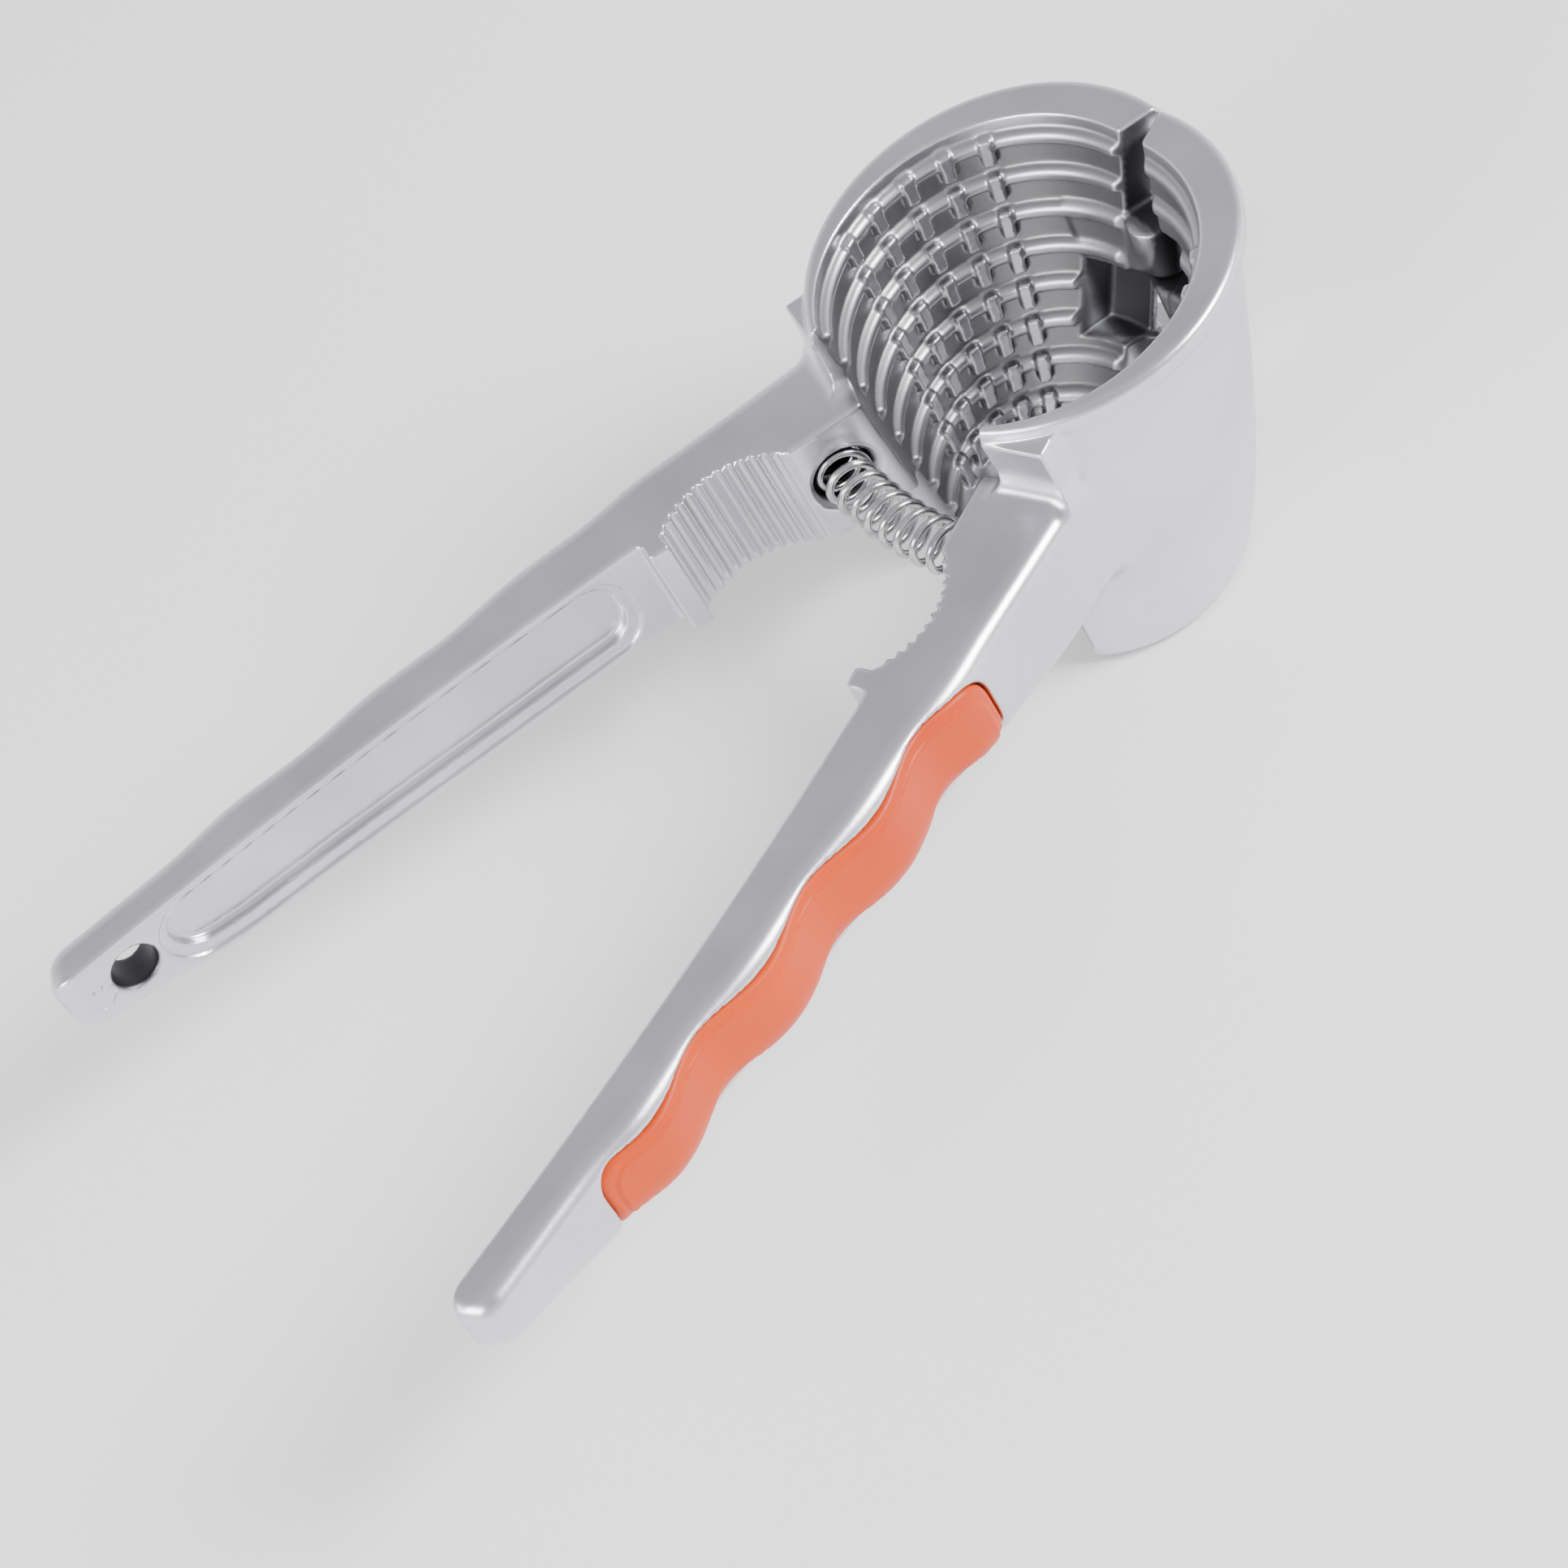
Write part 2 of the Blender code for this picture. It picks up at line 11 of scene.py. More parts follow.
import bpy
import numpy as np
from mathutils import Matrix, Vector


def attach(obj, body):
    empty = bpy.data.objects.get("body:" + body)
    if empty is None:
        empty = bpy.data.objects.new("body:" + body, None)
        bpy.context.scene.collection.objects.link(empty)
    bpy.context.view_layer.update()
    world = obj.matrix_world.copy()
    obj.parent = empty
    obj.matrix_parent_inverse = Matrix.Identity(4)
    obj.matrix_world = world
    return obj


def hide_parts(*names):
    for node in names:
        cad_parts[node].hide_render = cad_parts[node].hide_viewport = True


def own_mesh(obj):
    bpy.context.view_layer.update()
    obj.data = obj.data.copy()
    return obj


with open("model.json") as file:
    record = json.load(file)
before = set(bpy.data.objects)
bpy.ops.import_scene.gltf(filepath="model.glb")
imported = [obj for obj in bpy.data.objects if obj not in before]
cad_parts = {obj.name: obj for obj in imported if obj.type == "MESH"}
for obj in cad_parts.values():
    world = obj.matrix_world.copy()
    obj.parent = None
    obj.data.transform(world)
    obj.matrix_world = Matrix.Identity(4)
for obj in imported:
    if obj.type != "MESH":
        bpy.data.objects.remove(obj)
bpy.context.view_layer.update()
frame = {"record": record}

MM = 0.001
STEP = 0.42

# hinge; spans are (lowest, highest) in z and roots are (x, y) places in the wall
PIN_WORLD_Y = frame["record"]["behaviour"]["joints"][0]["pos_m"][1] / MM
CORNER_Y = 26.3
OPEN_ANGLE = math.radians(17.4)
PIN_INSET = 8.6
PIN_X = -PIN_INSET * math.sin(OPEN_ANGLE)
PIN_Y = CORNER_Y - PIN_INSET * math.cos(OPEN_ANGLE)
PIN_RADIUS = 1.4
PIN_PLAY = 0.15
PIN_HOLE_TOP = 31.6
PIN_HEAD_RADIUS = 2.3
KNUCKLE_RADIUS = 3.1
KNUCKLE_GAP = 0.3
UPPER_KNUCKLE = (24.9, 33.2)
MIDDLE_KNUCKLE = (13.4, 24.5)
LOWER_KNUCKLE = (9.6, 13.0)
UPPER_ARM_ROOT = (6.2, 13.4)
ARM_ROOT = (5.4, 9.6)
LEFT_WINDOW = 6.4
RIGHT_WINDOW = 4.4

# cup; each oval is (centre y, half width in x, half depth in y)
CUP_HEIGHT = 46.0
SHOULDER = 43.0
FLANGE_RADIUS = 26.45
BODY_X = -4.6
BODY_FOOT = (-11.1, 16.8, 16.5)
BODY_TOP = (-0.8, 25.4, 25.4)
BORE_X = -6.1
BORE_FOOT = (-10.5, 15.2, 11.6)
BORE_TOP = (-2.3, 23.3, 23.3)
CUP_CURVE = 0.7
NECK_X = (0.0, 9.0)
NECK_Y = (-26.2, -18.0)
NECK_Z = (30.0, 44.0)
FLOOR = 2.4
RING_PITCH = 5.4
RING_COUNT = 8
RING_BEAD = 1.0
TOP_RING_DROP = 3.0
NUB_ANGLES = (-34.0, -19.5, -5.0, 9.5, 24.0)
NUB_ABOVE = 0.7
NUB_BELOW = 2.2
NUB_FLAT = 0.55
NUB_ROUND = 0.45

# handle; each line is (x, the y where it has that x, slope), each rise (height, from, to) in -y
HANDLE_TOP = 35.0
TIP_Y = -149.9
INNER_X = -3.4
INNER_BEND_Y = -60.0
ROOT_LINE = (10.4, -20.0, 0.07)
WAVE_LINE = (5.4, -73.0, 0.142)
END_LINE = (-3.02, -127.0, 0.148)
FOOT_Z = 16.6
FOOT_RISES = ((2.8, 30.0, 60.0), (1.2, 80.0, 130.0), (4.2, 122.0, 150.0))
WAVE_PITCH = 22.9
WAVE_PEAK_Y = WAVE_LINE[1]
BED_WAVE = 0.3
GRIP_WAVE = 0.95
GRIP_GAP = 0.18
GRIP_START_Y = -50.5
GRIP_END_Y = -128.5
GRIP_TOP = 33.3
GRIP_DEPTH = 2.6
LAND_X = -4.1
LAND_END_Y = -36.3
BLOCK_X = -6.5
BLOCK_START_Y = -54.8
BLOCK_END_Y = -57.8
JAW_DEEPEST_X = -0.7
TOOTH_COUNT = 14
TOOTH_DEPTH = 0.85
LEDGE_ENDS = (-62.3, -135.2)
LEDGE_DEPTH = 0.5
DISH_ENDS = (-63.8, -133.8)
DISH_DEPTH = 1.9
HOLE_Y = -139.3
HOLE_RADIUS = 3.15
MARK_Y = -144.6
MARK_RADIUS = 1.7

# spring
SPRING_Y = -31.2
SPRING_Z = 25.4
POCKET_RADIUS = 4.25
POCKET_DEPTH = 6.5
COIL_RADIUS = 3.2
WIRE_RADIUS = 0.55
COIL_TURNS = 15
CLOSED_TURNS = 1.1
WIRE_STEPS = 28
WIRE_SIDES = 12


def soft_min(a, b, k):
    """The union of two fields with a fillet about k wide."""
    part = np.clip(0.5 + 0.5 * (b - a) / k, 0.0, 1.0)
    return b + (a - b) * part - k * part * (1.0 - part)


def soft_max(a, b, k):
    """The overlap of two fields with an edge rounded over about k."""
    return -soft_min(-a, -b, k)


def ease(value, low, high):
    """0 below low, 1 above high, and a smooth step between."""
    part = np.clip((value - low) / (high - low), 0.0, 1.0)
    return part * part * (3.0 - 2.0 * part)


def straight(line, y):
    x, place, steepness = line
    return x + steepness * (y - place)


def inner_line(y):
    """The inner face of the handle in plan: straight at first, then bending outward."""
    run = np.maximum(INNER_BEND_Y - y, 0.0)
    return INNER_X - 0.05 * run - 0.00065 * run * run


def finger_wave(y):
    return np.cos(2.0 * math.pi * (y - WAVE_PEAK_Y) / WAVE_PITCH)


def outer_line(y, wave_height):
    """The outer face of the handle in plan: root, finger waves, then the plain end."""
    root = straight(ROOT_LINE, y)
    waves = straight(WAVE_LINE, y) + wave_height * finger_wave(y)
    along = root + (waves - root) * ease(-y, 46.0, 62.0)
    return along + (straight(END_LINE, y) - along) * ease(-y, 119.0, 132.0)


def foot_line(y):
    """The lower edge of the handle, which climbs toward the tip."""
    foot = FOOT_Z
    for height, start, end in FOOT_RISES:
        foot = foot + height * ease(-y, start, end)
    return foot


def oval(x, y, centre_x, centre_y, width, depth):
    """Distance to an upright oval wall, less than zero inside it."""
    across = np.sqrt(((x - centre_x) / width) ** 2 + ((y - centre_y) / depth) ** 2)
    return (across - 1.0) * 0.5 * (width + depth)


def grown(foot, top, part):
    return foot + (top - foot) * part


def cup_wall(x, y, z):
    """The tapered outside of the cup, a little fuller than a straight cone."""
    part = (np.clip(z, 0.0, None) / SHOULDER) ** CUP_CURVE
    centre_y, width, depth = [grown(foot, top, part) for foot, top in zip(BODY_FOOT, BODY_TOP)]
    return oval(x, y, BODY_X, centre_y, width, depth)


def bore_oval(z):
    part = np.clip(z, 0.0, None) / CUP_HEIGHT
    curved = part ** CUP_CURVE
    parts = (curved, part, curved)
    return [grown(foot, top, here) for foot, top, here in zip(BORE_FOOT, BORE_TOP, parts)]


def bore_wall(x, y, z):
    """The tapered inside of the cup."""
    centre_y, width, depth = bore_oval(z)
    return oval(x, y, BORE_X, centre_y, width, depth)


def slab(value, low, high):
    """Distance to the stretch from low to high, less than zero inside it."""
    return np.maximum(low - value, value - high)


def cup(x, y, z):
    """The solid half cup: tapered wall, rim flange and the neck block toward the handle."""
    wall = soft_max(cup_wall(x, y, z), slab(z, 0.0, SHOULDER + 0.6), 1.4)
    rim = np.sqrt((x - BODY_X) ** 2 + y * y) - FLANGE_RADIUS
    rim = soft_max(rim, slab(z, SHOULDER, CUP_HEIGHT), 1.5)
    whole = soft_min(wall, rim, 1.0)
    neck = np.maximum(slab(x, *NECK_X), slab(y, *NECK_Y))
    whole = soft_min(whole, soft_max(neck, slab(z, *NECK_Z), 0.5), 0.8)
    return soft_max(whole, 0.2 - x, 0.3)


def handle(x, y, z, wave_height):
    """The handle bar with its land for the spring and its block below the jaw."""
    land = soft_max(LAND_X - x, slab(y, LAND_END_Y - 0.3, -22.0), 0.6)
    block = soft_max(BLOCK_X - x, slab(y, BLOCK_END_Y, BLOCK_START_Y + 0.4), 0.8)
    inner = soft_min(soft_min(inner_line(y) - x, land, 0.8), block, 1.2)
    body = soft_max(x - outer_line(y, wave_height), z - HANDLE_TOP, 3.3)
    body = soft_max(body, foot_line(y) - z, 5.6)
    body = soft_max(body, inner, 0.7)
    body = soft_max(body, TIP_Y - y, 4.5)
    return np.maximum(body, y + 16.0)


def nearest_ring(z):
    """Height of the ring nearest to each height."""
    first = CUP_HEIGHT - TOP_RING_DROP
    number = np.clip(np.round((first - z) / RING_PITCH), 0, RING_COUNT - 1)
    return first - number * RING_PITCH


def rings_and_nubs(x, y, z):
    """Half-round rings inside the cup, with short bars hanging from each one."""
    wall = bore_wall(x, y, z)
    bead = np.sqrt((wall + 0.05) ** 2 + (z - nearest_ring(z)) ** 2) - RING_BEAD
    middle_y, radius, _ = bore_oval(z)
    turn = np.degrees(np.arctan2(y - middle_y, x - BORE_X))
    above = nearest_ring(z + 0.5)
    drop = np.clip(above - z, -NUB_ABOVE, NUB_BELOW)
    apart = np.abs(turn - NUB_ANGLES[0])
    for angle in NUB_ANGLES[1:]:
        apart = np.minimum(apart, np.abs(turn - angle))
    across = np.maximum(np.radians(apart) * radius - NUB_FLAT, 0.0)
    proud = np.maximum(np.abs(wall + 0.4) - NUB_FLAT, 0.0)
    bar = np.sqrt(across ** 2 + proud ** 2 + (above - z - drop) ** 2) - NUB_ROUND
    both = soft_min(bead, bar, 0.5)
    return soft_max(soft_max(both, 0.35 - x, 0.8), wall - 1.5, 0.3)


def knuckle(x, y, z, span, root):
    """A barrel on the pin with an arm into the wall, kept out of the cup."""
    barrel = np.sqrt((x - PIN_X) ** 2 + (y - PIN_Y) ** 2) - KNUCKLE_RADIUS
    run_x = root[0] - PIN_X
    run_y = root[1] - PIN_Y
    part = np.clip(((x - PIN_X) * run_x + (y - PIN_Y) * run_y) / (run_x ** 2 + run_y ** 2), 0.0, 1.0)
    arm = np.sqrt((x - PIN_X - part * run_x) ** 2 + (y - PIN_Y - part * run_y) ** 2) - KNUCKLE_RADIUS
    arm = soft_max(arm, -bore_wall(x, y, z) - 0.2, 0.5)
    return soft_max(soft_min(barrel, arm, 0.6), slab(z, span[0], span[1]), 0.7)


def window(x, y, z, span, width):
    """Room for the other half's knuckle."""
    room = soft_max(cup_wall(x, y, z) + 1.1, np.maximum(x - width, 2.0 - y), 0.6)
    barrel = np.sqrt((x - PIN_X) ** 2 + (y - PIN_Y) ** 2) - KNUCKLE_RADIUS - 0.5
    return soft_max(np.minimum(room, barrel), slab(z, span[0] - KNUCKLE_GAP, span[1] + KNUCKLE_GAP), 0.5)


def jaw(x, y):
    """The concave bite with upright grooves."""
    middle_x = 0.5 * (LAND_X + BLOCK_X)
    middle_y = 0.5 * (LAND_END_Y + BLOCK_START_Y)
    half = 0.5 * math.dist((LAND_X, LAND_END_Y), (BLOCK_X, BLOCK_START_Y))
    sagitta = JAW_DEEPEST_X - middle_x
    radius = (half * half + sagitta * sagitta) / (2.0 * sagitta)
    centre_x = JAW_DEEPEST_X - radius
    turn = np.arctan2(y - middle_y, x - centre_x)
    spread = 2.0 * math.asin(half / radius)
    groove = TOOTH_DEPTH * np.abs(np.sin(math.pi * TOOTH_COUNT * turn / spread))
    bite = np.sqrt((x - centre_x) ** 2 + (y - middle_y) ** 2) - radius - groove
    return np.maximum(bite, slab(y, BLOCK_START_Y, LAND_END_Y))


def grip_room(x, y, z, margin):
    """The pocket for the grip: a wavy upper edge, rounded ends, open below."""
    edge = GRIP_TOP - 0.6 * finger_wave(y) - margin
    ends = slab(y, GRIP_END_Y + margin, GRIP_START_Y - margin)
    room = soft_max(z - edge, ends, 4.5)
    return soft_max(room, outer_line(y, BED_WAVE) - GRIP_DEPTH + margin - x, 0.7)


def rounded_bar(y, z, start, end, foot, top, radius):
    """Distance to a long round-cornered opening in the Y-Z plane."""
    dy = np.maximum(slab(y, end + radius, start - radius), 0.0)
    dz = np.maximum(slab(z, foot + radius, top - radius), 0.0)
    return np.sqrt(dy * dy + dz * dz) - radius


def recess(x, y, z):
    """The long dish in the inner face: a shallow ledge around a deeper floor."""
    depth = x - inner_line(y)
    ledge = rounded_bar(y, z, *LEDGE_ENDS, foot_line(y) + 1.2, HANDLE_TOP - 1.6, 5.0)
    dish = rounded_bar(y, z, *DISH_ENDS, foot_line(y) + 2.9, HANDLE_TOP - 2.2, 4.2)
    outer = soft_max(ledge, depth - LEDGE_DEPTH, 0.3)
    inner = soft_max(dish, depth - DISH_DEPTH, 0.8)
    return soft_min(outer, inner, 0.3)


def with_hinge(body, x, y, z, side):
    """Cuts room for the other half's knuckles, then adds this half's own and the pin hole."""
    if side > 0:
        gaps = ((UPPER_KNUCKLE, RIGHT_WINDOW), (LOWER_KNUCKLE, RIGHT_WINDOW))
        own = ((MIDDLE_KNUCKLE, ARM_ROOT),)
    else:
        gaps = ((MIDDLE_KNUCKLE, LEFT_WINDOW),)
        own = ((UPPER_KNUCKLE, UPPER_ARM_ROOT), (LOWER_KNUCKLE, ARM_ROOT))
    for span, width in gaps:
        body = soft_max(body, -window(x, y, z, span, width), 0.4)
    for span, root in own:
        body = soft_min(body, knuckle(x, y, z, span, root), 0.8)
    pin = np.sqrt((x - PIN_X) ** 2 + (y - PIN_Y) ** 2) - PIN_RADIUS - PIN_PLAY
    return soft_max(body, -np.maximum(pin, z - PIN_HOLE_TOP), 0.2)


def from_hole(y, z):
    """Distance from the middle of the hanging hole."""
    middle = 0.5 * (foot_line(HOLE_Y) + HANDLE_TOP)
    return np.sqrt((y - HOLE_Y) ** 2 + (z - middle) ** 2)


def with_hanging_hole(body, x, y, z):
    """The round hole near the tip, and the shallow round mark beyond it."""
    body = soft_max(body, -(from_hole(y, z) - HOLE_RADIUS), 0.8)
    middle = 0.5 * (foot_line(HOLE_Y) + HANDLE_TOP) - 0.6
    line = np.abs(np.sqrt((y - MARK_Y) ** 2 + (z - middle) ** 2) - MARK_RADIUS) - 0.12
    return soft_max(body, -soft_max(line, x - inner_line(y) - 0.12, 0.1), 0.1)


def from_pocket(y, z):
    """Distance from the middle line of the spring pocket."""
    return np.sqrt((y - SPRING_Y) ** 2 + (z - SPRING_Z) ** 2)


def casting(x, y, z, side):
    """One half: 1 is the right one, -1 the left one with the hanging hole."""
    body = soft_min(cup(x, y, z), handle(x, y, z, BED_WAVE), 3.0)
    bore = soft_max(bore_wall(x, y, z), FLOOR - z, 2.0)
    body = soft_max(body, -bore, 0.5)
    body = soft_min(body, rings_and_nubs(x, y, z), 0.6)
    body = with_hinge(body, x, y, z, side)
    body = soft_max(body, -jaw(x, y), 0.35)
    body = soft_max(body, -grip_room(x, y, z, 0.0), 0.7)
    body = soft_max(body, -recess(x, y, z), 0.5)
    pocket = from_pocket(y, z) - POCKET_RADIUS - np.clip(LAND_X + 0.8 - x, 0.0, 1.6)
    body = soft_max(body, -np.maximum(pocket, x - LAND_X - POCKET_DEPTH), 0.3)
    if side < 0:
        body = with_hanging_hole(body, x, y, z)
    return body


def grip(x, y, z):
    """The plastic pad, its middle a step proud of its border."""
    pad = handle(x, y, z, GRIP_WAVE)
    inside = grip_room(x, y, z, GRIP_GAP)
    border = 0.28 * (1.0 - ease(-inside, 1.3, 1.75))
    return soft_max(pad + border, inside, 1.0)


def sampled(field, low, high, step):
    """The field on a regular grid, a few layers at a time to save memory."""
    axes = [np.arange(low[i], high[i] + step, step) for i in range(3)]
    values = np.empty([len(axis) for axis in axes], np.float32)
    layers = 16
    for start in range(0, len(axes[0]), layers):
        rows = axes[0][start:start + layers, None, None]
        values[start:start + layers] = field(rows, axes[1][None, :, None], axes[2][None, None, :])
    return values


def cell_points(values):
    """The cells that the zero level passes through, and the mean of its edge crossings in each."""
    inside = values < 0.0
    nx, ny, nz = [length - 1 for length in values.shape]
    corners = [(i, j, k) for i in (0, 1) for j in (0, 1) for k in (0, 1)]
    count = np.zeros((nx, ny, nz), np.uint8)
    for i, j, k in corners:
        count += inside[i:nx + i, j:ny + j, k:nz + k]
    cells = np.argwhere((count > 0) & (count < len(corners)))
    total = np.zeros((len(cells), 3))
    hits = np.zeros(len(cells))
    for first in corners:
        for axis in range(3):
            if first[axis]:
                continue
            second = list(first)
            second[axis] = 1
            a = values[tuple((cells + first).T)]
            b = values[tuple((cells + second).T)]
            cross = (a < 0.0) != (b < 0.0)
            part = np.where(cross, a / np.where(cross, a - b, 1.0), 0.0)
            point = np.array(first, float) + part[:, None] * (np.array(second) - np.array(first))
            total += point * cross[:, None]
            hits += cross
    return cells, cells + total / hits[:, None]


def cell_faces(values, cells):
    """A four-sided face round every grid edge that crosses the zero level, facing outward."""
    inside = values < 0.0
    shape = values.shape
    number = np.full([length - 1 for length in shape], -1, np.int64)
    number[tuple(cells.T)] = np.arange(len(cells))
    faces = []
    for axis in range(3):
        u = (axis + 1) % 3
        v = (axis + 2) % 3
        crossing = np.argwhere(inside != np.roll(inside, -1, axis))
        keep = crossing[:, axis] < shape[axis] - 1
        keep &= (crossing[:, u] > 0) & (crossing[:, v] > 0)
        keep &= (crossing[:, u] < shape[u] - 1) & (crossing[:, v] < shape[v] - 1)
        crossing = crossing[keep]
        ring = []
        for du, dv in ((0, 0), (-1, 0), (-1, -1), (0, -1)):
            cell = crossing.copy()
            cell[:, u] += du
            cell[:, v] += dv
            ring.append(number[tuple(cell.T)])
        quads = np.stack(ring, 1)
        leaving = inside[tuple(crossing.T)]
        quads[~leaving] = quads[~leaving][:, ::-1]
        faces.append(quads)
    return np.concatenate(faces)


def slope(field, points):
    """Field value over its own steepness, and its unit direction, at scattered points."""
    small = 0.02
    x, y, z = points.T
    level = field(x, y, z)
    along = []
    for shift in ((small, 0, 0), (0, small, 0), (0, 0, small)):
        more = field(x + shift[0], y + shift[1], z + shift[2])
        less = field(x - shift[0], y - shift[1], z - shift[2])
        along.append((more - less) / (2.0 * small))
    direction = np.stack(along, 1)
    steep = np.maximum(np.linalg.norm(direction, axis=1), 0.3)
    return level / steep, direction / steep[:, None]


def surface(field, low, high, step):
    """Vertices, normals and faces of the zero level, with the vertices drawn onto it."""
    values = sampled(field, low, high, step)
    cells, points = cell_points(values)
    faces = cell_faces(values, cells)
    vertices = np.array(low) + step * points
    for _ in range(3):
        level, normals = slope(field, vertices)
        move = np.clip(level, -0.5 * step, 0.5 * step)
        vertices = vertices - normals * move[:, None]
    return vertices, normals, faces


def swing(points, side, centre):
    """From a half frame: mirrored for the left side and swung open about a centre."""
    flat = points - np.array(centre)
    flat[:, 0] *= side
    turn = side * OPEN_ANGLE
    turned = np.empty_like(flat)
    turned[:, 0] = flat[:, 0] * math.cos(turn) - flat[:, 1] * math.sin(turn)
    turned[:, 1] = flat[:, 0] * math.sin(turn) + flat[:, 1] * math.cos(turn)
    turned[:, 2] = flat[:, 2]
    return turned


def make_object(name, vertices, faces, normals=None, shade=None):
    """A smooth mesh object from arrays, with its own normals and its painted-shade values where given."""
    mesh = bpy.data.meshes.new(name)
    mesh.from_pydata(vertices.tolist(), [], faces.tolist())
    mesh.update()
    mesh.shade_smooth()
    if shade is not None:
        attribute = mesh.attributes.new("shade", "FLOAT", "POINT")
        attribute.data.foreach_set("value", shade.astype(np.float32))
    if normals is not None:
        mesh.normals_split_custom_set_from_vertices(normals.tolist())
    item = bpy.data.objects.new(name, mesh)
    bpy.context.collection.objects.link(item)
    return item


def half_piece(name, field, low, high, side, shade_of):
    """A piece of one half, meshed in the half frame and placed in the frame of the part."""
    vertices, normals, faces = surface(field, low, high, STEP)
    shade = shade_of(*vertices.T)
    placed = swing(vertices, side, (PIN_X, PIN_Y, 0.0))
    placed[:, 1] += PIN_WORLD_Y
    turned = swing(normals, side, (0.0, 0.0, 0.0))
    if side < 0:
        faces = faces[:, ::-1]
    return make_object(name, placed * MM, faces, turned, shade)


def painted_shade_and_roughness(x, y, z, side):
    """Painted shade and added roughness: 0 outside, up to 0.6 inside the cup but less on its rings, 1 in
    the hinge gaps, pocket and hole; the colour there is painted darker as if in shade.
    """
    inward = -bore_wall(x, y, z)
    # painted shade on the cup's inside walls, fading out toward the rim
    cup_shade = ease(inward, -2.0, -0.3) * ease(CUP_HEIGHT - z, 0.2, 2.5)
    # ring crests get less painted shade, so they stand out lighter against the shaded wall
    cup_shade = cup_shade * (1.0 - 0.6 * ease(inward, 0.2, 0.9))
    # painted shade in the hinge windows and around the knuckles
    hinge = ease(-cup_wall(x, y, z), 0.3, 0.9) * ease(y, 7.0, 10.0) * ease(8.5 - x, 0.0, 1.5)
    hinge = hinge * ease(bore_wall(x, y, z), 0.1, 0.6) * ease(CUP_HEIGHT - 1.5 - z, 0.0, 2.0)
    # painted shade inside the spring pocket
    pocket = ease(x - LAND_X, 0.5, 2.0) * ease(POCKET_RADIUS + 0.6 - from_pocket(y, z), 0.0, 0.4)
    pocket = pocket * (x < LAND_X + POCKET_DEPTH + 0.5)
    # painted shade inside the hanging hole, on the left half only
    hole = ease(HOLE_RADIUS + 0.5 - from_hole(y, z), 0.0, 0.4) * (side < 0)
    return np.maximum(0.6 * cup_shade, np.maximum(np.maximum(pocket, hole), hinge))


def spring_heights(length):
    """Places of the wire along the coil's middle line: close turns at both ends, open between."""
    turns = COIL_TURNS * np.arange(COIL_TURNS * WIRE_STEPS + 1) / (COIL_TURNS * WIRE_STEPS)
    tight = 2.2 * WIRE_RADIUS
    loose = (length - 2.0 * CLOSED_TURNS * tight) / (COIL_TURNS - 2.0 * CLOSED_TURNS)
    along = CLOSED_TURNS * tight + (turns - CLOSED_TURNS) * loose
    along = np.where(turns < CLOSED_TURNS, turns * tight, along)
    far = length - (COIL_TURNS - turns) * tight
    return turns, np.where(turns > COIL_TURNS - CLOSED_TURNS, far, along)


def spring_object():
    """The return spring, its middle line an arc about the rim corner, with closed ends."""
    reach = CORNER_Y - SPRING_Y
    face = math.asin((LAND_X + POCKET_DEPTH - 0.3) / reach)
    limit = OPEN_ANGLE + face - WIRE_RADIUS / reach
    turns, along = spring_heights(2.0 * limit * reach)
    lean = along / reach - limit
    angle = 2.0 * math.pi * turns
    corner = PIN_WORLD_Y + PIN_INSET
    hub = np.stack([np.sin(lean) * reach, corner - np.cos(lean) * reach, np.full(len(turns), SPRING_Z)], 1)
    out = reach + COIL_RADIUS * np.cos(angle)
    path = np.stack([np.sin(lean) * out, corner - np.cos(lean) * out,
                     SPRING_Z + COIL_RADIUS * np.sin(angle)], 1)
    ahead = np.gradient(path, axis=0)
    ahead /= np.linalg.norm(ahead, axis=1)[:, None]
    outward = path - hub
    outward -= ahead * (outward * ahead).sum(1)[:, None]
    outward /= np.linalg.norm(outward, axis=1)[:, None]
    across = np.cross(ahead, outward)
    rings = []
    for number in range(WIRE_SIDES):
        turn = 2.0 * math.pi * number / WIRE_SIDES
        rings.append(path + WIRE_RADIUS * (math.cos(turn) * outward + math.sin(turn) * across))
    vertices = np.stack(rings, 1).reshape(-1, 3)
    return make_object("return_spring", vertices * MM, tube_faces(len(path) - 1, WIRE_SIDES))


def tube_faces(levels, sides):
    """Faces between the rings of a tube, each ring with the same number of sides."""
    faces = []
    for level in range(levels):
        for number in range(sides):
            after = (number + 1) % sides
            low = level * sides
            faces.append((low + number, low + after, low + sides + after, low + sides + number))
    return np.array(faces)


def turned_object(name, profile, centre, steps=48):
    """A round piece from (radius, z) points, closed at both ends."""
    vertices = []
    for radius, z in profile:
        for number in range(steps):
            turn = 2.0 * math.pi * number / steps
            vertices.append((centre[0] + radius * math.cos(turn), centre[1] + radius * math.sin(turn), z))
    return make_object(name, np.array(vertices) * MM, tube_faces(len(profile) - 1, steps))


def new_material(name, metallic, roughness):
    """A node material, with its tree and its main shader."""
    material = bpy.data.materials.new(name)
    material.use_nodes = True
    shader = material.node_tree.nodes["Principled BSDF"]
    shader.inputs["Metallic"].default_value = metallic
    shader.inputs["Roughness"].default_value = roughness
    return material, material.node_tree, shader


def noise_node(tree, scale, detail):
    place = tree.nodes.new("ShaderNodeTexCoord")
    noise = tree.nodes.new("ShaderNodeTexNoise")
    noise.inputs["Scale"].default_value = scale
    noise.inputs["Detail"].default_value = detail
    tree.links.new(place.outputs["Object"], noise.inputs["Vector"])
    return noise


def ramp_node(tree, source, stops):
    ramp = tree.nodes.new("ShaderNodeValToRGB")
    elements = ramp.color_ramp.elements
    while len(elements) < len(stops):
        elements.new(0.5)
    for element, (place, colour) in zip(elements, stops):
        element.position = place
        element.color = (colour[0], colour[1], colour[2], 1.0)
    tree.links.new(source, ramp.inputs["Fac"])
    return ramp


